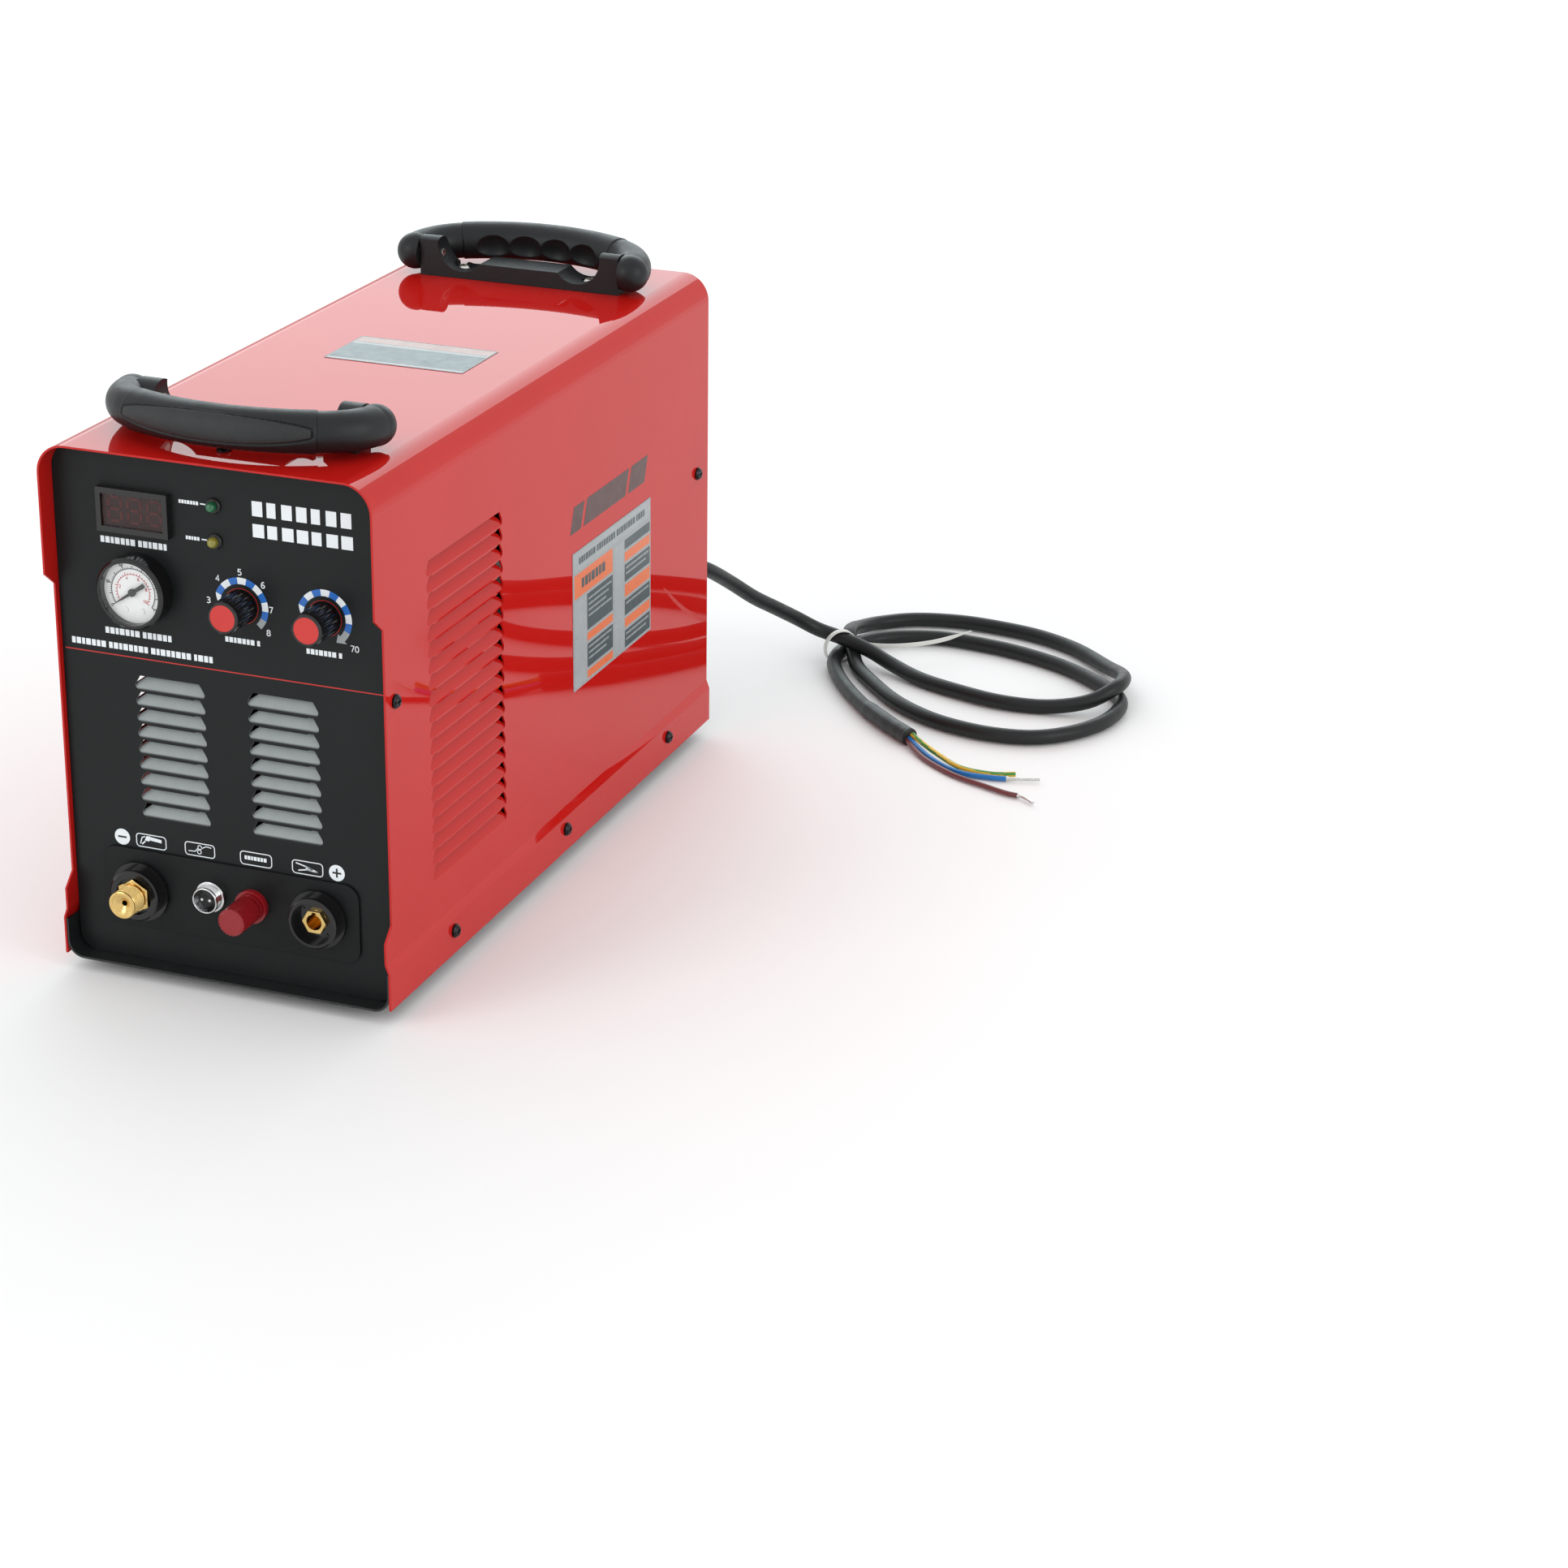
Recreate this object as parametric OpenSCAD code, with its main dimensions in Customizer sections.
// Inverter plasma cutter unit: sheet steel case, control panel, sockets, two folding handles.
// Row frame in mm: +Z up, front panel faces -Y, origin on the ground under the middle of the unit.

/* [Case] */
// Width over the plain sides of the cover
body_w = 200; // [180:1:230]
// Length of the cover from its front edge to its rear edge
body_l = 475; // [420:1:540]
// Height from the underside of the pan to the top of the cover
body_h = 304; // [270:1:350]
// Sheet thickness of the cover, pan and panels
sheet_t = 1.2; // [0.8:0.1:2]
// Outside radius of the two long top edges
cover_r = 17; // [8:1:30]
// Distance the lower skirt stands out at each side
skirt_out = 2; // [1:0.5:4]
// Height of the skirt band
skirt_h = 22; // [15:1:35]
// Depth of the front and rear panels behind the cover's edges
panel_recess = 13; // [6:1:25]
// Height of the rubber feet
foot_h = 8; // [5:1:20]
// Radius of a rubber foot at the ground
foot_r = 10; // [6:1:16]

/* [Louvres] */
// Number of louvres in each side column
side_louvres = 20; // [8:1:24]
// Length of a side louvre
side_louvre_l = 98; // [60:1:140]
// Number of louvres in each front column
front_louvres = 9; // [4:1:10]
// Length of a front louvre
front_louvre_l = 43; // [25:1:50]
// Height from one louvre to the next
louvre_pitch = 9.45; // [8:0.05:12]
// Distance a louvre blade leans inwards
louvre_depth = 5.5; // [3:0.5:9]
// Strip of flat sheet left between two louvres
louvre_strip = 0.7; // [0.5:0.1:2]

/* [Handles] */
// Radius of the handle's grip tube
grip_r = 11.8; // [9:0.1:15]
// Radius of the curve the grip follows
grip_bend_r = 125; // [90:1:180]
// Number of finger hollows in each grip
grip_hollows = 4; // [0:1:5]
// Distance between the two handle pivots along the unit
handle_pitch = 351; // [280:1:380]

/* [Controls] */
// Radius of the pressure gauge bezel
gauge_r = 20.5; // [18:0.5:26]
// Length of each knob
knob_l = 20.5; // [14:0.5:26]
// Radius of each knob
knob_r = 9.8; // [8:0.1:12]
// Number of flutes round each knob
knob_flutes = 18; // [8:1:24]

/* [Sockets] */
// Radius of the torch connection's thread
torch_thread_r = 8; // [6:0.5:10]
// Radius of the work socket's bore
work_bore_r = 4.6; // [4:0.1:7]
// Radius of the signal socket's barrel
signal_r = 7.8; // [6:0.1:10]
// Number of ribs round the pilot arc cap
pilot_ribs = 24; // [12:1:30]

/* [Mains lead] */
// Outside diameter of the mains lead
cord_d = 10; // [8:0.5:13]
// Outside diameter of one core
core_d = 3.4; // [2.5:0.1:5]

/* [Hidden] */
$fn = 64;

eps = 0.1;
half_w = body_w / 2;
y_front = -240;
y_rear = y_front + body_l;
z_pan = foot_h;
z_top = foot_h + body_h;
z_skirt = z_pan + 2;
z_joggle = z_skirt + skirt_h;
joggle_h = 5.5;
skirt_x = half_w + skirt_out;
pan_x = skirt_x - sheet_t;
pan_r = 10;
pan_y0 = y_front + 2;
pan_y1 = y_rear - 2;

// Panels
fp_y = y_front + panel_recess;
rp_y = y_rear - panel_recess + 1;
panel_x = half_w - sheet_t - eps;
panel_top_r = cover_r - sheet_t - eps;
flange_l = 17;

// Louvre blocks
side_lv_y = y_front + 61.5;
side_lv_z = z_top - 61;
front_lv_z = z_top - 131;
front_lv_x = [-54.5, 14.6];

// Front panel features: x, z
meter_c = [-48.7, z_top - 36.2];
meter_w = 43.5;
meter_h = 25;
meter_y = fp_y - 4;
led_x = -0.5;
led_z = [z_top - 27, z_top - 47];
led_r = 2.9;
clip_r = 4.4;
gauge_c = [-48.2, z_top - 80];
gauge_front = y_front + 1;
dial_r = 17.8;
knob_x = [13.6, 63.4];
knob_z = z_top - 82;
knob_back = fp_y - 0.8;
plate_x0 = -80.5;
plate_x1 = 79;
plate_z0 = 29.5;
plate_z1 = 76.5;
plate_r = 9;
plate_t = 1.5;
plate_y = fp_y - plate_t;
torch_c = [-56.5, 52];
signal_c = [-12.5, 56];
pilot_c = [13.3, 54.5];
work_c = [54.5, 54];
boss_r = 15;
socket_front = y_front + 2;
torch_tip = y_front - 11;
pilot_front = y_front - 14;

// Handles
pivot_z = 13.5;
pin_r = 3;
ear_r = 11;
ear_x0 = 54;
ear_x1 = 67.5;
ball_r = 11.5;
ball_x = 73.4;
elbow_r = 11.2;
swing_gap = 0.6;
grip_tilt = 3.8;
grip_mid = 41;
seam_x = 54;
hollow_r = 14;
hollow_out = 9.5;
hollow_pitch = 21;
hollow_drop = 2;
grip_cy = grip_mid - grip_bend_r;
seam_a = asin(seam_x / grip_bend_r);
rear_handle_y = 170;
front_handle_y = rear_handle_y - handle_pitch;

// Rear panel features: x, z
fan_c = [0, 205];
fan_w = 120;
fan_t = 25;
fan_bore = 57.5;
gland_c = [70, 109];
gland_end = 248;
switch_c = [-62, 108];
inlet_c = [10, 62];
inlet_end = 254;
reg_c = [-35, 62];

// A section in x and z, extruded along +Y from y0
module along_y(y0, len) {
  translate([0, y0 + len, 0]) rotate([90, 0, 0]) linear_extrude(len) children();
}

// A section in y and z, extruded along +X from x0
module along_x(x0, len) {
  translate([x0, 0, 0]) rotate([90, 0, 90]) linear_extrude(len) children();
}

// A round bar along +Y with its axis through c
module rod_y(c, r, y0, y1) {
  translate([c[0], y0, c[1]]) rotate([-90, 0, 0]) cylinder(r = r, h = y1 - y0);
}

// A round cone along +Y from radius ra to radius rb
module cone_y(c, ra, rb, y0, y1) {
  translate([c[0], y0, c[1]]) rotate([-90, 0, 0]) cylinder(r1 = ra, r2 = rb, h = y1 - y0);
}

// A hexagonal bar along +Y measured across its flats
module hex_y(c, af, y0, y1) {
  translate([c[0], y0, c[1]]) rotate([-90, 0, 0]) cylinder(d = af / cos(30), h = y1 - y0, $fn = 6);
}

module rounded_rect(x0, x1, z0, z1, r_low, r_high) {
  translate([x0 + r_low, z0]) square([x1 - x0 - 2 * r_low, r_low + eps]);
  translate([x0 + r_high, z1 - r_high - eps]) square([x1 - x0 - 2 * r_high, r_high + eps]);
  translate([x0, z0 + r_low]) square([x1 - x0, z1 - z0 - r_low - r_high]);
  for (s = [x0 + r_low, x1 - r_low]) translate([s, z0 + r_low]) circle(r_low);
  for (s = [x0 + r_high, x1 - r_high]) translate([s, z1 - r_high]) circle(r_high);
}

// Outline of the cover at a distance in from its outer face
module cover_outline(inset) {
  x = half_w - inset;
  xs = skirt_x - inset;
  r = cover_r - inset;
  z_hi = z_top - inset;
  translate([-x, z_joggle + joggle_h]) square([2 * x, z_hi - r - z_joggle - joggle_h]);
  translate([-x + r, z_hi - r - eps]) square([2 * (x - r), r + eps]);
  for (s = [-1, 1]) translate([s * (x - r), z_hi - r]) circle(r);
  polygon([[-xs, z_skirt - inset], [xs, z_skirt - inset], [xs, z_joggle], [x, z_joggle + joggle_h],
    [-x, z_joggle + joggle_h], [-xs, z_joggle]]);
}

// Stepped front edge of the cover, seen from the side: everything to be cut away
module front_edge_cut() {
  a = z_top - 75;
  b = z_top - 83;
  c = z_top - 254;
  d = z_top - 262;
  step = 9.5;
  toe = 1.5;
  polygon([[y_front - 2, a], [y_front, a], [y_front + step, b], [y_front + step, c],
    [y_front + toe, d], [y_front + toe, z_skirt - 2], [y_front - 2, z_skirt - 2]]);
}

blade_h = louvre_pitch - louvre_strip;
nose_r = 2.6;

// Left end of a louvre's outline from angle a0 of its round nose up to height h, the upper edge at a slant
function nose(a0, slant, h) = let(a1 = 90 + slant, y1 = nose_r + nose_r * sin(a1)) concat(
  [for (i = [0:5]) let(a = a0 + (a1 - a0) * i / 5) [nose_r + nose_r * cos(a), nose_r + nose_r * sin(a)]],
  [[nose_r + nose_r * cos(a1) + (h - y1) / tan(slant), h]]);

// Faces of a column of blades: n blades below z_hi, starting at u0, upper corners slanted off
module blade_faces(n, z_hi, u0, l) {
  end = concat([[0, 0]], nose(180, 35, blade_h + 0.6));
  for (i = [1:n]) translate([u0, z_hi - i * louvre_pitch])
    polygon(concat(end, [for (k = [len(end) - 1:-1:0]) [l - end[k][0], end[k][1]]]));
}

// Sections of a column of blades: each leaves the plane u = 0 and leans to +u as it rises
module blade_sections(n, z_hi) {
  t = sheet_t;
  for (i = [1:n]) translate([0, z_hi - i * louvre_pitch])
    polygon([[0, -0.6], [t, -0.6], [louvre_depth + t, blade_h + 0.3],
      [louvre_depth, blade_h + 0.6], [0, 0.6]]);
}

// Openings of a column of louvres
module blade_windows(n, z_hi, u0, l) {
  end = nose(270, 60, blade_h);
  for (i = [1:n]) translate([u0, z_hi - i * louvre_pitch + 0.6])
    polygon(concat(end, [for (k = [len(end) - 1:-1:0]) [l - end[k][0], end[k][1]]]));
}

module side_blades() {
  intersection() {
    translate([half_w, side_lv_y, 0]) rotate([90, 0, 180]) linear_extrude(side_louvre_l)
      blade_sections(side_louvres, side_lv_z);
    along_x(half_w - 12, 13) blade_faces(side_louvres, side_lv_z, side_lv_y, side_louvre_l);
  }
}

module base_pan() {
  color([0.10, 0.10, 0.11]) difference() {
    along_y(pan_y0, pan_y1 - pan_y0) difference() {
      rounded_rect(-pan_x, pan_x, z_pan, z_joggle - 1, pan_r, 0.01);
      translate([-pan_x + sheet_t, z_pan + pan_r])
        square([2 * (pan_x - sheet_t), z_joggle]);
      rounded_rect(-pan_x + sheet_t, pan_x - sheet_t, z_pan + sheet_t, z_joggle - 2,
        pan_r - sheet_t, 0.01);
    }
    for (x = [-30, 30], y = [-150:30:150]) translate([x - 9, y, z_pan - 1]) cube([18, 5, 4]);
    cover_screw_rods(2.1);
  }
}

foot_x = 76;
foot_y = [-205, 198];

module rubber_feet() {
  color([0.06, 0.06, 0.06]) for (x = [-foot_x, foot_x], y = foot_y) translate([x, y, 0])
    difference() {
      cylinder(r1 = foot_r, r2 = foot_r + 2, h = foot_h);
      translate([0, 0, -eps]) cylinder(r = 4.5, h = 4);
    }
}

module cover() {
  color([0.80, 0.08, 0.06]) {
    difference() {
      along_y(y_front, body_l) difference() {
        cover_outline(0);
        cover_outline(sheet_t);
      }
      along_x(-skirt_x - 5, 2 * skirt_x + 10) front_edge_cut();
      for (s = [-1, 1]) along_x(s * half_w - 3, 6)
        blade_windows(side_louvres, side_lv_z, side_lv_y, side_louvre_l);
      cover_screw_rods(2.1);
      handle_screw_rods(2.3);
    }
    side_blades();
    mirror([1, 0, 0]) side_blades();
  }
}

// Panel outline shared by the front and rear panels
module panel_outline() {
  rounded_rect(-panel_x, panel_x, z_pan + sheet_t, z_top - sheet_t - eps, 10, panel_top_r);
}

// Side flange of a panel from y0 to y1
module side_flanges(y0, y1, z0) {
  for (s = [-1, 1]) along_y(y0, y1 - y0)
    translate([s > 0 ? panel_x - sheet_t : -panel_x, z0]) square([sheet_t, z_top - 25 - z0]);
}

// Tab under the cover's top at the middle of a panel, from y0 to y1
module top_tab(y0, y1) {
  translate([-32, y0, z_top - 2 * sheet_t - eps]) cube([64, y1 - y0, sheet_t]);
}

module front_panel() {
  color([0.13, 0.13, 0.14]) difference() {
    union() {
      along_y(fp_y, sheet_t) difference() {
        panel_outline();
        for (x = front_lv_x) blade_windows(front_louvres, front_lv_z, x, front_louvre_l);
        translate([meter_c[0] - 20.4, meter_c[1] - 11]) square([40.8, 22]);
        for (z = led_z) translate([led_x, z]) circle(3.2);
        translate(gauge_c) circle(19.7);
        for (x = knob_x) translate([x, knob_z]) circle(3.7);
        translate(torch_c) circle(8.2);
        translate(signal_c) circle(8);
        translate(pilot_c) circle(3.2);
        translate(work_c) circle(8.2);
      }
      side_flanges(fp_y + sheet_t / 2, fp_y + flange_l, 40);
      top_tab(fp_y + sheet_t / 2, fp_y + 20);
      for (x = front_lv_x) intersection() {
        translate([0, fp_y, 0]) along_x(x, front_louvre_l)
          blade_sections(front_louvres, front_lv_z);
        along_y(fp_y - 1, 14) blade_faces(front_louvres, front_lv_z, x, front_louvre_l);
      }
      translate([-panel_x + 12, fp_y + eps, z_pan + sheet_t]) cube([2 * panel_x - 24, flange_l, sheet_t]);
    }
    cover_screw_rods(2.1);
  }
}

module rear_panel() {
  color([0.13, 0.13, 0.14]) difference() {
    union() {
      along_y(rp_y - sheet_t, sheet_t) difference() {
        panel_outline();
        translate(fan_c) circle(fan_bore);
        for (p = fan_holes) translate(p) circle(2.1);
        translate(gland_c) circle(9.1);
        translate([switch_c[0] - 13.1, switch_c[1] - 10.1]) square([26.2, 20.2]);
        translate(inlet_c) circle(6.1);
        translate(reg_c) circle(11.1);
        for (i = [0:6]) translate([30 + 8 * i, 38]) square([3.5, 22]);
      }
      side_flanges(rp_y - flange_l, rp_y - sheet_t / 2, 40);
      top_tab(rp_y - 20, rp_y - sheet_t / 2);
    }
    cover_screw_rods(2.1);
  }
}

side_screw_z = z_top - 126.5;
side_screw_y = [y_front + 20.5, y_front + 456.5];
skirt_screw_z = z_pan + 16;
skirt_screw_y = [y_front + 83, y_front + 240, y_front + 402];
top_screw_y = [y_front + 26, y_rear - 26];
fan_holes = [for (sx = [-1, 1], sz = [-1, 1]) [fan_c[0] + 52.5 * sx, fan_c[1] + 52.5 * sz]];

// Bars of radius r through every cover screw hole
module cover_screw_rods(r) {
  for (s = [-1, 1]) {
    for (y = side_screw_y) translate([s * (half_w - 5), y, side_screw_z])
      rotate([0, 90, 0]) cylinder(r = r, h = 20, center = true);
    for (y = skirt_screw_y) translate([s * (skirt_x - 5), y, skirt_screw_z])
      rotate([0, 90, 0]) cylinder(r = r, h = 20, center = true);
  }
  for (y = top_screw_y) translate([0, y, z_top - 8]) cylinder(r = r, h = 16);
}

// A pan head screw pointing down -Z from a seat at z = 0, cross recess in its head
module pan_screw(head_r, head_h, shank_r, shank_l) {
  difference() {
    union() {
      cylinder(r = head_r, h = head_h * 0.45);
      translate([0, 0, head_h * 0.45]) cylinder(r1 = head_r, r2 = head_r * 0.7, h = head_h * 0.55);
      translate([0, 0, -shank_l]) cylinder(r = shank_r, h = shank_l + eps);
    }
    for (a = [0, 90]) rotate([0, 0, a])
      translate([-head_r * 0.6, -head_r * 0.12, head_h * 0.4]) cube([head_r * 1.2, head_r * 0.24, head_h]);
  }
}

module body_screws() {
  color([0.08, 0.08, 0.09]) {
    for (s = [-1, 1]) {
      for (y = side_screw_y) translate([s * half_w, y, side_screw_z])
        rotate([0, s * 90, 0]) pan_screw(4, 2.6, 2, 7);
      for (y = skirt_screw_y) translate([s * skirt_x, y, skirt_screw_z])
        rotate([0, s * 90, 0]) pan_screw(4, 2.6, 2, 7);
    }
    for (y = top_screw_y) translate([0, y, z_top]) pan_screw(4, 2.6, 2, 7);
    for (p = fan_holes) translate([p[0], rp_y + 2.2, p[1]]) rotate([-90, 0, 0])
      pan_screw(4, 2.4, 2, 12);
  }
}

label_t = 0.3;
side_label_y = y_front + 257;
side_label_z = z_top - 206;

module labels() {
  color([0.70, 0.70, 0.72]) {
    translate([-35, y_front + 209, z_top]) cube([88.5, 49.5, label_t]);
    translate([half_w, side_label_y, side_label_z]) cube([label_t, 120.5, 87.5]);
  }
}

module connector_plate() {
  color([0.09, 0.09, 0.10]) along_y(plate_y, plate_t) difference() {
    rounded_rect(plate_x0, plate_x1, plate_z0, plate_z1, plate_r, plate_r);
    translate(torch_c) circle(8.2);
    translate(signal_c) circle(8);
    translate(pilot_c) circle(3.2);
    translate(work_c) circle(8.2);
  }
}

meter_win_w = 37.5;
meter_win_h = 18.5;

module meter_housing() {
  color([0.07, 0.07, 0.08]) difference() {
    union() {
      along_y(meter_y, fp_y - meter_y) translate([meter_c[0] - meter_w / 2, meter_c[1] - meter_h / 2])
        square([meter_w, meter_h]);
      along_y(fp_y, 20) translate([meter_c[0] - 20.2, meter_c[1] - 10.8]) square([40.4, 21.6]);
    }
    along_y(meter_y - 1, 10) translate([meter_c[0] - meter_win_w / 2, meter_c[1] - meter_win_h / 2])
      square([meter_win_w, meter_win_h]);
  }
}

module meter_window() {
  color([0.25, 0.03, 0.03]) along_y(meter_y + 1.2, 1)
    translate([meter_c[0] - meter_win_w / 2 + 0.05, meter_c[1] - meter_win_h / 2 + 0.05])
      square([meter_win_w - 0.1, meter_win_h - 0.1]);
}

// Seven bars of one numeral, w wide and h high, about its own centre
module numeral(w, h) {
  b = 1.3;
  for (z = [-h / 2, 0, h / 2]) translate([-w / 2 + b, z - b / 2]) square([w - 2 * b, b]);
  for (x = [-w / 2, w / 2], z = [-h / 4, h / 4]) translate([x - b / 2, z - h / 4 + b])
    square([b, h / 2 - 2 * b]);
}

module meter_display() {
  color([0.6, 0.08, 0.06]) {
    along_y(meter_y + 4, 5) translate([meter_c[0] - 18.4, meter_c[1] - 9]) square([36.8, 18]);
    for (i = [-1, 0, 1]) along_y(meter_y + 3.4, 0.6) translate([meter_c[0] + 12 * i, meter_c[1]])
      numeral(7.6, 13.5);
  }
}

module led_clips() {
  color([0.05, 0.05, 0.05]) for (z = led_z) difference() {
    union() {
      cone_y([led_x, z], clip_r - 0.7, clip_r, fp_y - 1.8, fp_y - 1);
      rod_y([led_x, z], clip_r, fp_y - 1, fp_y);
    }
    rod_y([led_x, z], led_r + 0.02, fp_y - 3, fp_y + 1);
  }
}

module led(z) {
  rod_y([led_x, z], led_r, fp_y - 3, fp_y + 6);
  translate([led_x, fp_y - 3, z]) sphere(led_r);
}

module led_green() {
  color([0.10, 0.45, 0.22]) led(led_z[0]);
}

module led_yellow() {
  color([0.68, 0.62, 0.20]) led(led_z[1]);
}

dial_y = gauge_front + 5;

module gauge_case() {
  color([0.05, 0.05, 0.06]) difference() {
    union() {
      cone_y(gauge_c, gauge_r - 1.2, gauge_r, gauge_front, gauge_front + 1.2);
      rod_y(gauge_c, gauge_r, gauge_front + 1.2, fp_y);
      rod_y(gauge_c, 19.5, fp_y - eps, fp_y + 14);
      rod_y(gauge_c, 5, fp_y + 13, fp_y + 24);
    }
    rod_y(gauge_c, dial_r, gauge_front - 1, dial_y + 0.8);
    rod_y(gauge_c, 16, dial_y, fp_y + 8);
  }
}

module gauge_dial() {
  color([0.93, 0.93, 0.92]) {
    difference() {
      rod_y(gauge_c, dial_r - 0.05, dial_y, dial_y + 0.8);
      rod_y(gauge_c, 1.2, dial_y - 1, dial_y + 2);
    }
    for (x = [-5, 5]) difference() {
      rod_y([gauge_c[0] + x, gauge_c[1] - 10.5], 1.5, dial_y - 0.5, dial_y + 0.01);
      translate([gauge_c[0] + x - 1.2, dial_y - 0.7, gauge_c[1] - 10.75]) cube([2.4, 0.4, 0.5]);
    }
  }
}

needle_a = 214;
needle_y = dial_y - 1.6;

module gauge_needle() {
  color([0.04, 0.04, 0.04]) {
    rod_y(gauge_c, 2.2, needle_y - 0.4, needle_y + 0.6);
    rod_y(gauge_c, 1, needle_y, dial_y + 6);
    translate([gauge_c[0], 0, gauge_c[1]]) rotate([0, -needle_a, 0])
      along_y(needle_y, 0.4) polygon([[-9, -1.3], [-2, -1], [2, -0.9], [14.2, -0.15],
        [14.2, 0.15], [2, 0.9], [-2, 1], [-9, 1.3]]);
  }
}

module gauge_lens() {
  color([0.8, 0.85, 0.88, 0.4]) rod_y(gauge_c, dial_r - 0.05, gauge_front + 1, gauge_front + 2);
}

knob_cap_r = knob_r - 2.35;

// A fluted control knob at x, its front at knob_back - knob_l
module knob(x) {
  front = knob_back - knob_l;
  difference() {
    union() {
      cone_y([x, knob_z], knob_r - 1.3, knob_r - 0.7, front, front + 0.7);
      cone_y([x, knob_z], knob_r - 0.7, knob_r, front + 0.7, knob_back);
    }
    rod_y([x, knob_z], knob_cap_r + 0.05, front - 1, front + 1);
    rod_y([x, knob_z], 3, knob_back - 14, knob_back + 1);
    rod_y([x, knob_z], 6.5, knob_back - 2.5, knob_back + 1);
    for (i = [0:knob_flutes - 1]) {
      a = i * 360 / knob_flutes;
      rod_y([x + (knob_r + 0.1) * cos(a), knob_z + (knob_r + 0.1) * sin(a)], 1.35,
        front + 3, knob_back + 1);
    }
  }
}

// The flat coloured cap of a knob
module knob_cap(x) {
  front = knob_back - knob_l;
  rod_y([x, knob_z], knob_cap_r, front + 0.1, front + 1);
}

module post_air_knob() {
  color([0.06, 0.06, 0.07]) knob(knob_x[0]);
}

module post_air_cap() {
  color([0.85, 0.20, 0.16]) knob_cap(knob_x[0]);
}

module current_knob() {
  color([0.06, 0.06, 0.07]) knob(knob_x[1]);
}

module current_cap() {
  color([0.85, 0.20, 0.16]) knob_cap(knob_x[1]);
}

module torch_boss() {
  color([0.05, 0.05, 0.06]) difference() {
    union() {
      rod_y(torch_c, boss_r + 2.5, plate_y - 2.5, plate_y);
      rod_y(torch_c, boss_r, socket_front + 0.8, plate_y - 2);
      cone_y(torch_c, boss_r - 0.8, boss_r, socket_front, socket_front + 0.8);
      rod_y(torch_c, 8, plate_y - 1, fp_y + 6);
    }
    rod_y(torch_c, 11, socket_front - 1, socket_front + 2.5);
    rod_y(torch_c, 6.05, socket_front, fp_y + 8);
  }
}

module torch_fitting() {
  color([0.85, 0.65, 0.28]) difference() {
    union() {
      cone_y(torch_c, torch_thread_r - 0.6, torch_thread_r, torch_tip, torch_tip + 0.6);
      rod_y(torch_c, torch_thread_r, torch_tip + 0.6, socket_front + 1);
      hex_y(torch_c, 18, socket_front - 1, socket_front + 2.5);
      rod_y(torch_c, 6, socket_front + 1, fp_y + 20);
      hex_y(torch_c, 17, fp_y + 6, fp_y + 11);
    }
    cone_y(torch_c, torch_thread_r - 1, 1.6, torch_tip - 0.01, torch_tip + 3.4);
    rod_y(torch_c, 1.6, torch_tip, fp_y + 21);
  }
}

module signal_socket_shell() {
  color([0.80, 0.80, 0.80]) difference() {
    union() {
      cone_y(signal_c, signal_r - 0.5, signal_r, y_front + 3.5, y_front + 4);
      rod_y(signal_c, signal_r, y_front + 4, fp_y + 10);
      rod_y(signal_c, signal_r + 1.3, plate_y - 2.2, plate_y);
      hex_y(signal_c, 20, fp_y + sheet_t, fp_y + sheet_t + 2.5);
    }
    rod_y(signal_c, signal_r - 1.1, y_front + 2, fp_y + 11);
  }
}

module signal_socket_insert() {
  color([0.04, 0.04, 0.04]) difference() {
    union() {
      rod_y(signal_c, signal_r - 1.15, y_front + 9, fp_y + 12);
      translate([signal_c[0] - 1, y_front + 4.5, signal_c[1] - signal_r + 1.25]) cube([2, 5, 1.4]);
    }
    for (x = [-2.4, 2.4]) rod_y([signal_c[0] + x, signal_c[1]], 1, y_front + 2, fp_y + 15);
  }
}

module signal_socket_pins() {
  color([0.80, 0.78, 0.70]) for (x = [-2.4, 2.4]) {
    rod_y([signal_c[0] + x, signal_c[1]], 0.95, y_front + 5.5, fp_y + 15);
    translate([signal_c[0] + x, y_front + 5.5, signal_c[1]]) sphere(0.95);
  }
}

cap_back = plate_y - 7;
pilot_stud_r = 2;
insert_r = 3.4;

module pilot_post_collar() {
  color([0.65, 0.08, 0.07]) difference() {
    union() {
      rod_y(pilot_c, 9.8, plate_y - 3, plate_y);
      rod_y(pilot_c, 6.4, plate_y - 4, plate_y - 2);
      rod_y(pilot_c, 8, plate_y - 6.2, plate_y - 3.8);
      rod_y(pilot_c, 3.1, plate_y - 1, fp_y + 4);
      rod_y(pilot_c, 6, fp_y + sheet_t, fp_y + 4);
    }
    rod_y(pilot_c, pilot_stud_r + 0.05, plate_y - 8, fp_y + 6);
  }
}

module pilot_post_stud() {
  color([0.80, 0.62, 0.28]) {
    rod_y(pilot_c, pilot_stud_r, cap_back - 9.5, fp_y + 16);
    hex_y(pilot_c, 7, fp_y + 4.1, fp_y + 7);
  }
}

module pilot_post_insert() {
  color([0.80, 0.62, 0.28]) difference() {
    rod_y(pilot_c, insert_r, cap_back - 9, cap_back);
    rod_y(pilot_c, pilot_stud_r + 0.06, cap_back - 10, cap_back + 1);
  }
}

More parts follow.
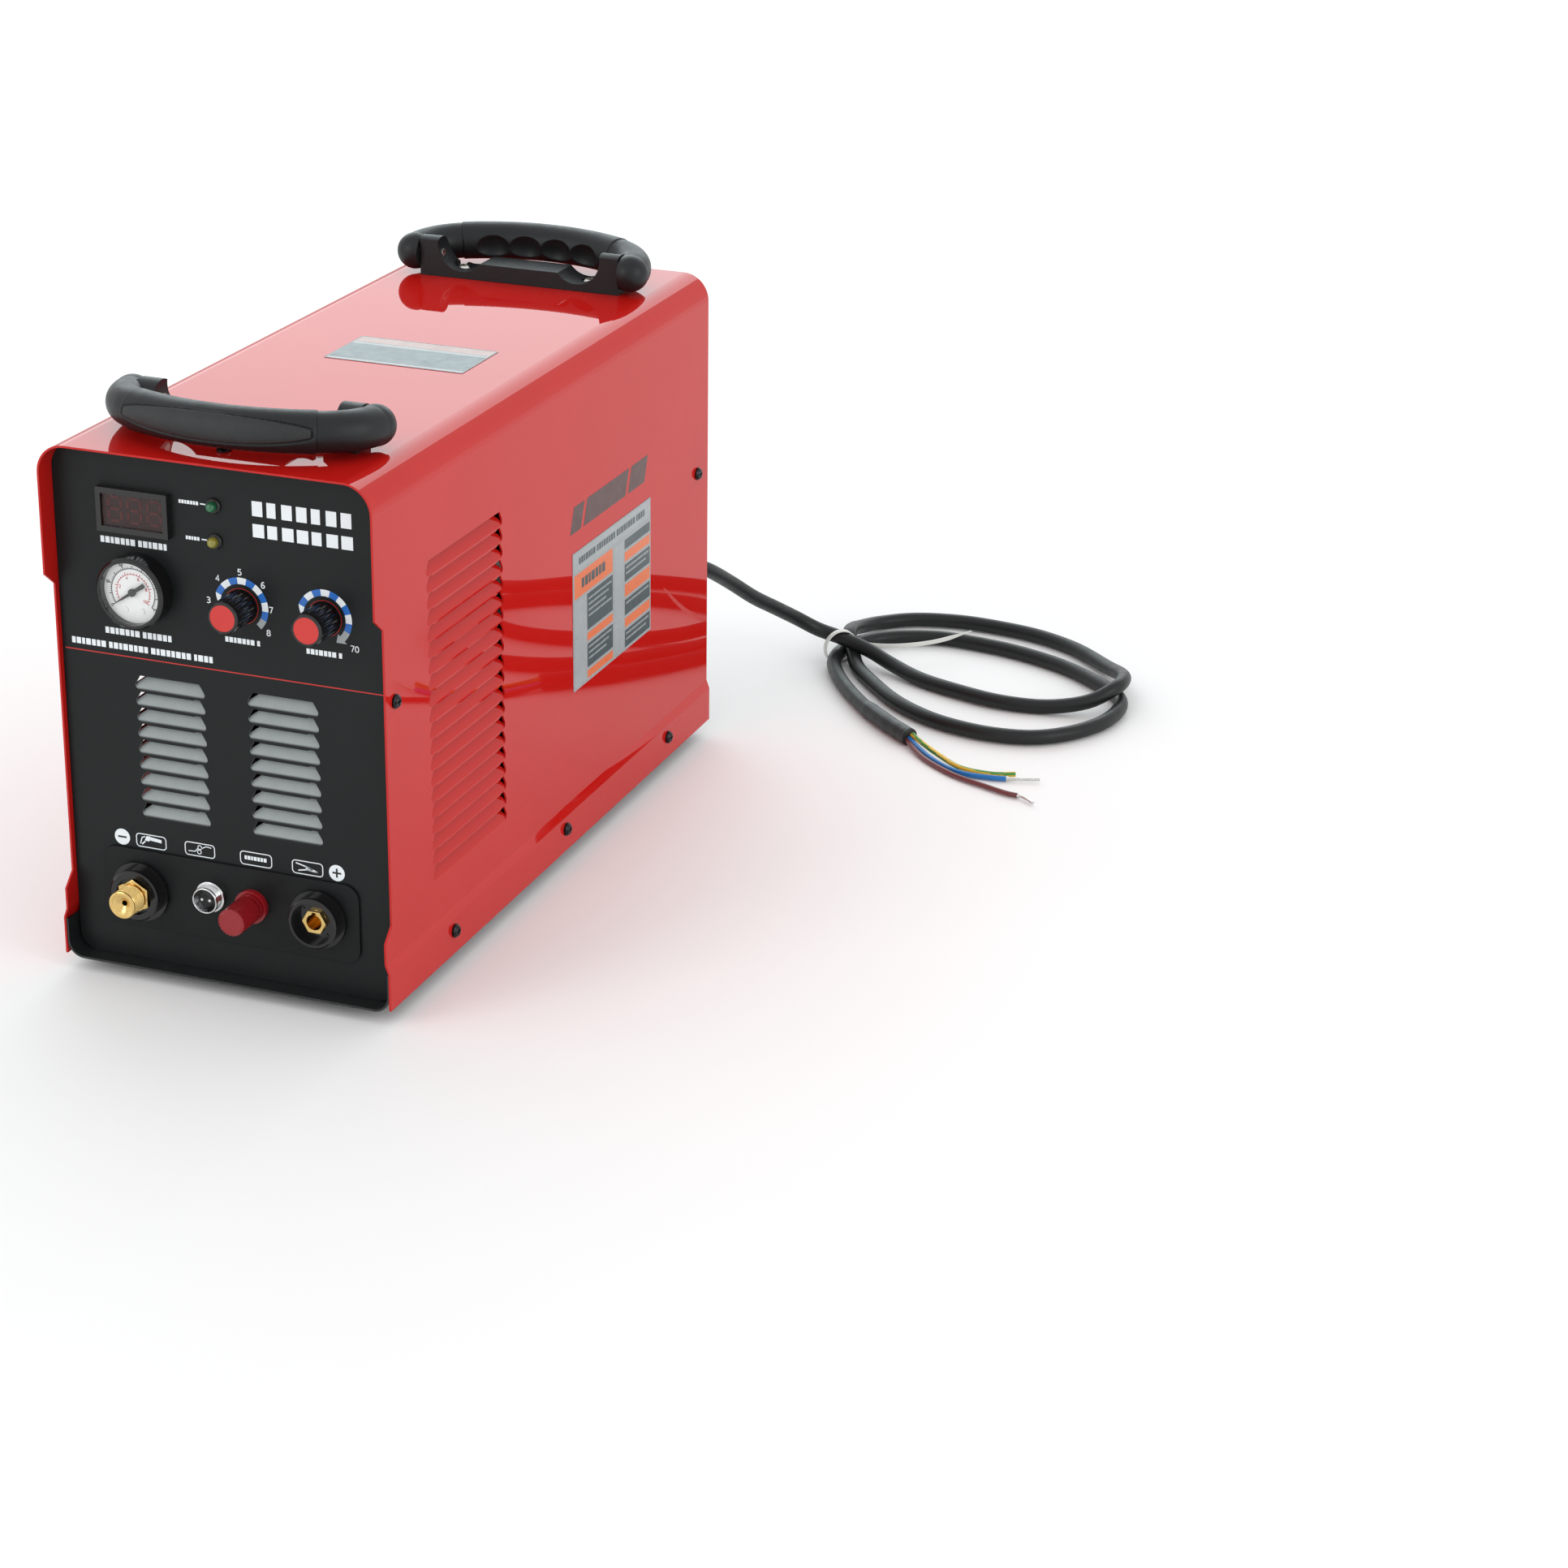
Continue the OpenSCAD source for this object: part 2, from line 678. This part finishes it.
module pilot_post_cap() {
  color([0.72, 0.10, 0.08]) difference() {
    union() {
      cone_y(pilot_c, 6.6, 7.4, pilot_front, pilot_front + 0.8);
      along_y(pilot_front + 0.8, cap_back - pilot_front - 0.8) translate(pilot_c) difference() {
        circle(8);
        for (i = [0:pilot_ribs - 1]) rotate(i * 360 / pilot_ribs) translate([8.35, 0]) circle(0.65);
      }
    }
    rod_y(pilot_c, insert_r + 0.05, cap_back - 9.1, cap_back + 1);
    rod_y(pilot_c, pilot_stud_r + 0.3, cap_back - 15.5, cap_back);
  }
}

module work_socket_ring() {
  color([0.05, 0.05, 0.06]) difference() {
    union() {
      rod_y(work_c, boss_r + 2, plate_y - 2.5, plate_y);
      rod_y(work_c, boss_r - 0.2, socket_front + 0.8, plate_y - 2);
      cone_y(work_c, boss_r - 1, boss_r - 0.2, socket_front, socket_front + 0.8);
      rod_y(work_c, 8, plate_y - 1, fp_y + 6);
    }
    rod_y(work_c, 12.4, socket_front - 1, socket_front + 6);
    rod_y(work_c, 6.55, socket_front, fp_y + 8);
    for (a = [45:90:315]) rod_y([work_c[0] + 10 * cos(a), work_c[1] + 10 * sin(a)], 0.9,
      socket_front + 4, socket_front + 6.5);
  }
}

module work_socket_core() {
  color([0.83, 0.62, 0.25]) difference() {
    union() {
      hex_y(work_c, 12.6, socket_front + 3, socket_front + 6);
      rod_y(work_c, 6.5, socket_front + 5.9, fp_y + 16);
      hex_y(work_c, 17, fp_y + 6, fp_y + 11);
    }
    rod_y(work_c, work_bore_r, socket_front, socket_front + 24);
    translate([work_c[0] - 1.2, socket_front, work_c[1] + 2]) cube([2.4, 9, 3.8]);
  }
}

// Front view of a handle bracket: two ears, two scooped seats, a raised middle
module bracket_front() {
  difference() {
    translate([-ear_x1, 0]) square([2 * ear_x1, pivot_z + ear_r]);
    for (s = [-1, 1]) translate([39 * s, 20.5]) circle(16);
    translate([-39, 10.5]) square([78, 20]);
  }
}

module handle_bracket() {
  difference() {
    intersection() {
      along_y(-5.7, 22) bracket_front();
      union() {
        along_x(-44, 88) translate([-5.7, 0]) square([22, pivot_z]);
        along_x(-ear_x1, 2 * ear_x1) {
          translate([-5.7, 0]) square([5.7 + ear_r, pivot_z]);
          intersection() {
            translate([0, pivot_z]) circle(ear_r);
            translate([-5.7, 0]) square([5.7 + ear_r, pivot_z + ear_r]);
          }
        }
      }
    }
    for (s = [-1, 1]) {
      translate([s * 61, 0, pivot_z]) rotate([0, 90, 0]) cylinder(r = pin_r, h = 20, center = true);
      translate([s * 43.5, 7, -1]) cylinder(r = 2.3, h = 12);
      translate([s * 43.5, 7, 3]) cylinder(r = 5.6, h = 12);
    }
  }
}

// The grip's frame: origin on the pivot line, raised a little off the cover
module grip_frame() {
  translate([0, 0, pivot_z]) rotate([grip_tilt, 0, 0]) children();
}

module handle_grip() {
  hollow_d = grip_bend_r - grip_r - hollow_out;
  hollow_step = hollow_pitch / (grip_bend_r - grip_r) * 180 / PI;
  grip_frame() difference() {
    translate([0, grip_cy, 0]) rotate([0, 0, 90 - seam_a])
      rotate_extrude(angle = 2 * seam_a) translate([grip_bend_r, 0]) circle(grip_r);
    for (i = [1:grip_hollows]) {
      a = 90 + (i - (grip_hollows + 1) / 2) * hollow_step;
      translate([hollow_d * cos(a), grip_cy + hollow_d * sin(a), -hollow_drop]) sphere(hollow_r);
    }
  }
}

// Each elbow bends on from the seam, tangent to the grip, down to the ball on the pivot
seam_y = grip_cy + grip_bend_r * cos(seam_a);
elbow_chord = norm([ball_x - seam_x, seam_y]);
elbow_turn = 2 * (atan2(seam_y, ball_x - seam_x) - seam_a);
elbow_bend = elbow_chord / 2 / sin(elbow_turn / 2);

module handle_elbows() {
  for (s = [0, 1]) mirror([s, 0, 0]) difference() {
    grip_frame() {
      translate([ball_x, 0, 0]) sphere(ball_r);
      translate([seam_x - elbow_bend * sin(seam_a), seam_y - elbow_bend * cos(seam_a), 0])
        rotate([0, 0, 90 - seam_a - elbow_turn]) rotate_extrude(angle = elbow_turn)
          translate([elbow_bend, 0]) circle(elbow_r);
    }
    translate([0, 0, pivot_z]) rotate([0, 90, 0])
      cylinder(r = ear_r + swing_gap, h = 2 * (ear_x1 + 0.5), center = true);
    translate([-ear_x1 - 0.5, -30, -30])
      cube([2 * (ear_x1 + 0.5), 30 + ear_r + swing_gap, 30 + pivot_z]);
    translate([0, 0, pivot_z]) rotate([0, 90, 0]) cylinder(r = pin_r + 0.05, h = 80.5);
  }
}

module place_front() {
  translate([0, front_handle_y, z_top]) rotate([0, 0, 180]) children();
}

module place_rear() {
  translate([0, rear_handle_y, z_top]) children();
}

// Bars of radius r down through the cover under every handle screw
module handle_screw_rods(r) {
  for (s = [-1, 1]) {
    place_front() translate([s * 43.5, 7, -6]) cylinder(r = r, h = 10);
    place_rear() translate([s * 43.5, 7, -6]) cylinder(r = r, h = 10);
  }
}

module front_handle_bracket() {
  color([0.09, 0.09, 0.09]) place_front() handle_bracket();
}

module front_handle_grip() {
  color([0.10, 0.10, 0.10]) place_front() handle_grip();
}

module front_handle_elbows() {
  color([0.09, 0.09, 0.09]) place_front() handle_elbows();
}

module rear_handle_bracket() {
  color([0.09, 0.09, 0.09]) place_rear() handle_bracket();
}

module rear_handle_grip() {
  color([0.10, 0.10, 0.10]) place_rear() handle_grip();
}

module rear_handle_elbows() {
  color([0.09, 0.09, 0.09]) place_rear() handle_elbows();
}

module handle_pins() {
  color([0.70, 0.70, 0.70]) for (s = [-1, 1]) {
    place_front() translate([s * 66.5, 0, pivot_z]) rotate([0, 90, 0])
      cylinder(r = pin_r, h = 26, center = true);
    place_rear() translate([s * 66.5, 0, pivot_z]) rotate([0, 90, 0])
      cylinder(r = pin_r, h = 26, center = true);
  }
}

module handle_screws() {
  color([0.80, 0.80, 0.78]) for (s = [-1, 1]) {
    place_front() translate([s * 43.5, 7, 3]) pan_screw(4.4, 2.4, 2.2, 12);
    place_rear() translate([s * 43.5, 7, 3]) pan_screw(4.4, 2.4, 2.2, 12);
  }
}

fan_y1 = rp_y - sheet_t;
fan_y0 = fan_y1 - fan_t;

module fan_frame() {
  color([0.05, 0.05, 0.05]) {
    along_y(fan_y0, fan_t) difference() {
      rounded_rect(fan_c[0] - fan_w / 2, fan_c[0] + fan_w / 2,
        fan_c[1] - fan_w / 2, fan_c[1] + fan_w / 2, 5, 5);
      translate(fan_c) circle(fan_bore);
      for (p = fan_holes) translate(p) circle(2.1);
    }
    along_y(fan_y0, 4) translate(fan_c) {
      circle(19);
      for (a = [20:90:290]) rotate(a) translate([10, -3]) square([49, 6]);
    }
  }
}

module fan_rotor() {
  color([0.07, 0.07, 0.07]) {
    rod_y(fan_c, 20, fan_y0 + 5, fan_y1 - 2);
    for (a = [0:51.4286:350]) translate([fan_c[0], (fan_y0 + fan_y1) / 2 + 1, fan_c[1]])
      rotate([0, a, 0]) rotate([35, 0, 0]) translate([18, -1, -13]) cube([37.5, 2, 26]);
  }
}

module fan_guard() {
  color([0.70, 0.70, 0.70]) {
    for (r = [8:9.4:55]) translate([fan_c[0], rp_y + 2.6, fan_c[1]]) rotate([90, 0, 0])
      rotate_extrude() translate([r, 0]) circle(0.9);
    for (a = [45:90:315]) translate([fan_c[0], rp_y + 1.2, fan_c[1]]) rotate([0, a, 0])
      translate([7, 0, 0]) rotate([0, 90, 0]) cylinder(r = 1.1, h = 64.5);
    for (p = fan_holes) difference() {
      rod_y(p, 4.6, rp_y, rp_y + 2.2);
      rod_y(p, 2.1, rp_y - 1, rp_y + 4);
    }
  }
}

module switch_housing() {
  color([0.05, 0.05, 0.05]) difference() {
    union() {
      along_y(rp_y, 2.5) translate([switch_c[0] - 15.5, switch_c[1] - 12.5]) square([31, 25]);
      along_y(rp_y - 22, 22.1) translate([switch_c[0] - 13, switch_c[1] - 10]) square([26, 20]);
    }
    along_y(rp_y - 9, 20) translate([switch_c[0] - 11, switch_c[1] - 8.5]) square([22, 17]);
    rocker_pivot(1.25, 12.5);
  }
}

// Pivot of the rocker: a rod of radius r reaching half_l to each side
module rocker_pivot(r, half_l) {
  translate([switch_c[0] - half_l, rp_y - 3, switch_c[1]]) rotate([0, 90, 0]) cylinder(r = r, h = 2 * half_l);
}

module switch_rocker() {
  color([0.70, 0.06, 0.05]) {
    translate([0, rp_y - 3, switch_c[1]]) rotate([9, 0, 0]) along_x(switch_c[0] - 10.6, 21.2)
      polygon([[-4, -2], [-4, 2], [4.6, 7.3], [3, 0], [4.6, -7.3]]);
    rocker_pivot(1.2, 12.4);
  }
}

module cable_gland() {
  color([0.05, 0.05, 0.05]) {
    rod_y(gland_c, 9, rp_y - 10, rp_y + 1);
    hex_y(gland_c, 24, rp_y, rp_y + 5);
    rod_y(gland_c, 11, rp_y + 5, rp_y + 9);
    hex_y(gland_c, 23, rp_y + 8.9, rp_y + 16);
    cone_y(gland_c, 10.8, 7.4, rp_y + 16, gland_end);
    hex_y(gland_c, 24, rp_y - 6, rp_y - sheet_t);
  }
}

module air_inlet() {
  color([0.83, 0.64, 0.28]) difference() {
    union() {
      rod_y(inlet_c, 6, rp_y - 16, rp_y + 1);
      hex_y(inlet_c, 17, rp_y, rp_y + 7);
      for (i = [0:3]) cone_y(inlet_c, 5.2, 4.2, rp_y + 7 + 5 * i, rp_y + 12 + 5 * i);
      rod_y(inlet_c, 4.2, rp_y + 6.9, inlet_end);
      hex_y(inlet_c, 16, rp_y - 6, rp_y - sheet_t);
    }
    rod_y(inlet_c, 2.6, rp_y - 17, inlet_end + 1);
  }
}

module regulator_body() {
  color([0.62, 0.62, 0.64]) {
    along_y(rp_y - 45, 40) rounded_rect(reg_c[0] - 18, reg_c[0] + 18, reg_c[1] - 18, reg_c[1] + 18, 4, 4);
    rod_y(reg_c, 11, rp_y - 6, rp_y + 3);
    rod_y(reg_c, 4, rp_y + 2, rp_y + 9);
    rod_y(reg_c, 6, rp_y - 53, rp_y - 44);
  }
}

module regulator_knob() {
  color([0.06, 0.06, 0.07]) difference() {
    union() {
      rod_y(reg_c, 14, rp_y + 4, rp_y + 20);
      cone_y(reg_c, 14, 12.5, rp_y + 19.9, rp_y + 22);
    }
    rod_y(reg_c, 4.06, rp_y + 3, rp_y + 9.5);
    for (i = [0:11]) rod_y([reg_c[0] + 15 * cos(30 * i), reg_c[1] + 15 * sin(30 * i)], 2.2,
      rp_y + 7, rp_y + 23);
  }
}

module control_board() {
  color([0.08, 0.30, 0.16]) {
    along_y(-197, 1.6) difference() {
      translate([-85, 205]) square([170, 90]);
      translate(gauge_c) circle(6);
    }
    for (x = knob_x) {
      rod_y([x, knob_z], 8.5, fp_y + sheet_t, fp_y + 11);
      rod_y([x, knob_z], 3.6, fp_y - 2, fp_y + sheet_t + 1);
      rod_y([x, knob_z], 2.95, knob_back - 13, fp_y);
      rod_y([x, knob_z], 2, fp_y + 10, -196.9);
    }
    for (x = [-70, -40, -10, 30]) translate([x, -195.5, 212]) cube([18, 14, 9]);
    for (x = [-80, 80], z = [210, 290]) rod_y([x, z], 2.5, fp_y + sheet_t, -196.9);
  }
}

module power_board() {
  color([0.10, 0.32, 0.18]) {
    translate([-80, -130, 120]) cube([160, 270, 1.6]);
    for (x = [-58, 58], y = [-95, -30, 35]) translate([x, y, 121.5]) {
      cylinder(r = 16, h = 45);
      translate([0, 0, 44.9]) cylinder(r = 15, h = 1.2);
    }
    for (x = [-72, 72], y = [-120, 5, 130]) translate([x, y, 75]) cylinder(r = 3, h = 45.1);
    translate([-20, 75, 121.5]) cube([60, 45, 24]);
  }
}

module heatsinks() {
  color([0.72, 0.73, 0.75]) for (x = [-72, 12]) translate([x, -125, z_pan + sheet_t]) {
    translate([0, 0, 58]) cube([60, 260, 7.8]);
    for (i = [0:9]) translate([6.4 * i, 0, 0]) cube([2, 260, 58.1]);
  }
}

module main_transformer() {
  color([0.15, 0.14, 0.13]) {
    difference() {
      translate([-30, -55, 121.6]) cube([60, 60, 58]);
      translate([-20, -60, 132]) cube([12, 70, 37]);
      translate([8, -60, 132]) cube([12, 70, 37]);
    }
    difference() {
      translate([-19, -65, 133]) cube([38, 80, 35]);
      translate([-8.5, -56, 130]) cube([17, 62, 40]);
      translate([-25, -55.1, 120]) cube([50, 60.2, 12.9]);
    }
  }
}

module solenoid_valve() {
  color([0.78, 0.60, 0.26]) {
    translate([-75, 158, z_pan + sheet_t]) cube([32, 30, 34]);
    translate([-65, 173, z_pan + sheet_t + 33.9]) cylinder(r = 11, h = 26);
    translate([-65, 173, z_pan + sheet_t + 59.8]) cylinder(r = 4, h = 6);
  }
}

// A tube through the points p, made of straight runs with round joints
module tube_run(p, r) {
  for (i = [0:len(p) - 2]) {
    v = p[i + 1] - p[i];
    translate(p[i]) rotate([0, acos(v[2] / norm(v)), atan2(v[1], v[0])]) cylinder(r = r, h = norm(v));
    if (i > 0) translate(p[i]) sphere(r);
  }
}

module air_hoses() {
  color([0.20, 0.35, 0.62]) {
    tube_run([[10, 206.9, 62], [10, 192, 62], [-16.9, 192, 62]], 4.5);
    tube_run([[-35, 169.9, 62], [-35, 163, 62], [-35, 163, 26], [-42.9, 163, 26]], 3.5);
    tube_run([[-75.1, 173, 25], [-84, 173, 25], [-84, -190, 25], [-56.5, -190, 52],
      [-56.5, -206.9, 52]], 4);
    tube_run([[-48.2, -202.9, 232], [-48.2, -186, 232], [-90, -186, 232], [-90, -186, 95],
      [-90, 192, 95], [-90, 192, 66], [-53.1, 192, 66]], 2);
  }
}

// Route of the mains lead, from the gland to the end of its outer sheath
cord_path = [[70, 248, 109], [71, 262, 107.5], [80, 285, 96], [85, 315, 78], [93, 340, 60],
  [101, 362, 46], [109, 382, 33], [122, 392, 23], [140, 393, 18.5], [160, 391, 13],
  [180, 384, 7.5], [205, 370, 5.5], [236, 358, 5.5], [269, 350, 5.5], [300, 353, 5.5],
  [326, 362, 9.5], [341, 376, 16.5], [342, 395, 16], [335, 415, 12], [319, 438, 7],
  [289, 467, 5.5], [258, 483, 5.5], [225, 490, 5.5], [193, 491, 5.5], [163, 483, 5.5],
  [142, 467, 5.5], [134, 447, 8], [135, 428, 13], [139, 410, 16], [147, 395, 8.5],
  [157, 376, 5.5], [175, 353, 5.5], [202, 324, 5.5], [229, 305, 5.5], [254, 295, 5.5],
  [282, 291, 5.5], [308, 296, 5.5], [328, 312, 5.5], [343, 338, 5.5], [347, 368, 5.5],
  [339, 391, 5.5], [318, 411, 5.5], [288, 432, 5.5], [250, 447, 5.5], [216, 453, 5.5],
  [190, 453, 5.5], [163, 443, 5.5], [146, 428, 5.5], [138, 409, 6], [137, 388, 6.6],
  [143, 368, 5.5], [162, 337, 5.5], [189, 303, 6], [212, 281, 6.3], [230, 266, 6.3]];
sleeve_path = [[189, 303, 6], [212, 281, 6.3], [230, 266, 6.3], [233.1, 263.4, 6.3]];
sleeve_r = 5.9;
blue_path = [[232, 264, 5.5], [244, 252, 3.6], [260, 238, 2.5], [279, 227, 2.2], [298, 226, 2.2],
  [313, 229, 2.2], [331, 235, 2.2]];
green_path = [[233, 266, 8], [244, 257, 6], [258, 247, 4], [278, 233, 3], [299, 231.5, 2.5],
  [314, 237, 2.5]];
brown_path = [[231, 263, 4.5], [240, 252, 3.2], [254, 238, 2.2], [278, 221, 2.2], [302, 211, 2.2],
  [318, 205, 2.2], [329, 203, 2.2], [338, 196, 2.2]];

function mid_dir(p, i) = let(a = p[max(i - 1, 0)], b = p[min(i + 1, len(p) - 1)], d = b - a) d / norm(d);
function side_of(d) = let(s = cross(d, [0, 0, 1])) s / norm(s);
function up_of(d) = cross(side_of(d), d);
function ring(p, i, r, n, d) = let(s = side_of(d), u = up_of(d))
  [for (k = [0:n - 1]) p[i] + r * (cos(360 * k / n) * s + sin(360 * k / n) * u)];

// A swept tube of radius r along the points p, n sides, its first ring square to d0
module swept(p, r, n, d0) {
  m = len(p);
  pts = [for (i = [0:m - 1]) each ring(p, i, r, n, i == 0 ? d0 : mid_dir(p, i))];
  walls = [for (i = [0:m - 2], k = [0:n - 1])
    [i * n + k, i * n + (k + 1) % n, (i + 1) * n + (k + 1) % n, (i + 1) * n + k]];
  first = [for (k = [0:n - 1]) n - 1 - k];
  last = [for (k = [0:n - 1]) (m - 1) * n + k];
  polyhedron(points = pts, faces = concat([first, last], walls), convexity = 8);
}

// A hollow swept tube: outer radius r, inner radius q
module swept_shell(p, r, q, n, d0) {
  m = len(p);
  pts = [for (s = [r, q], i = [0:m - 1]) each ring(p, i, s, n, i == 0 ? d0 : mid_dir(p, i))];
  outer = [for (i = [0:m - 2], k = [0:n - 1])
    [i * n + k, i * n + (k + 1) % n, (i + 1) * n + (k + 1) % n, (i + 1) * n + k]];
  inner = [for (f = outer) [m * n + f[3], m * n + f[2], m * n + f[1], m * n + f[0]]];
  first = [for (k = [0:n - 1]) [(k + 1) % n, k, m * n + k, m * n + (k + 1) % n]];
  last = [for (k = [0:n - 1]) let(a = (m - 1) * n + k, b = (m - 1) * n + (k + 1) % n)
    [a, b, m * n + b, m * n + a]];
  polyhedron(points = pts, faces = concat(outer, inner, first, last), convexity = 8);
}

module mains_cord() {
  color([0.06, 0.06, 0.07]) swept(cord_path, cord_d / 2, 10, [0, 1, 0]);
}

module cord_cores() {
  color([0.10, 0.40, 0.75]) swept(blue_path, core_d / 2, 8, mid_dir(blue_path, 0));
  color([0.80, 0.75, 0.20]) swept(green_path, core_d / 2, 8, mid_dir(green_path, 0));
  color([0.45, 0.20, 0.15]) swept(brown_path, core_d / 2, 8, mid_dir(brown_path, 0));
}

module cord_sleeve() {
  color([0.05, 0.05, 0.05])
    swept_shell(sleeve_path, sleeve_r, cord_d / 2 + 0.32, 10, mid_dir(sleeve_path, 0));
}

module cord_tie() {
  color([0.92, 0.92, 0.90]) {
    translate([139, 391, 12.7]) rotate([0, 0, 45]) rotate([90, 0, 0]) rotate_extrude()
      translate([11.3, -2.2]) square([1.2, 4.4]);
    swept([[150, 400, 14], [163, 404, 12.5], [181, 414, 12], [199, 430, 12.5], [217, 447, 16.5]],
      1.6, 8, mid_dir([[150, 400, 14], [163, 404, 12.5]], 0));
  }
}

base_pan();
rubber_feet();
cover();
front_panel();
rear_panel();
body_screws();
labels();
connector_plate();
meter_housing();
meter_window();
meter_display();
led_clips();
led_green();
led_yellow();
gauge_case();
gauge_dial();
gauge_needle();
gauge_lens();
post_air_knob();
post_air_cap();
current_knob();
current_cap();
torch_boss();
torch_fitting();
signal_socket_shell();
signal_socket_insert();
signal_socket_pins();
pilot_post_collar();
pilot_post_stud();
pilot_post_insert();
pilot_post_cap();
work_socket_ring();
work_socket_core();
front_handle_bracket();
front_handle_grip();
front_handle_elbows();
rear_handle_bracket();
rear_handle_grip();
rear_handle_elbows();
handle_pins();
handle_screws();
fan_frame();
fan_rotor();
fan_guard();
switch_housing();
switch_rocker();
cable_gland();
air_inlet();
regulator_body();
regulator_knob();
control_board();
power_board();
heatsinks();
main_transformer();
solenoid_valve();
air_hoses();
mains_cord();
cord_cores();
cord_sleeve();
cord_tie();
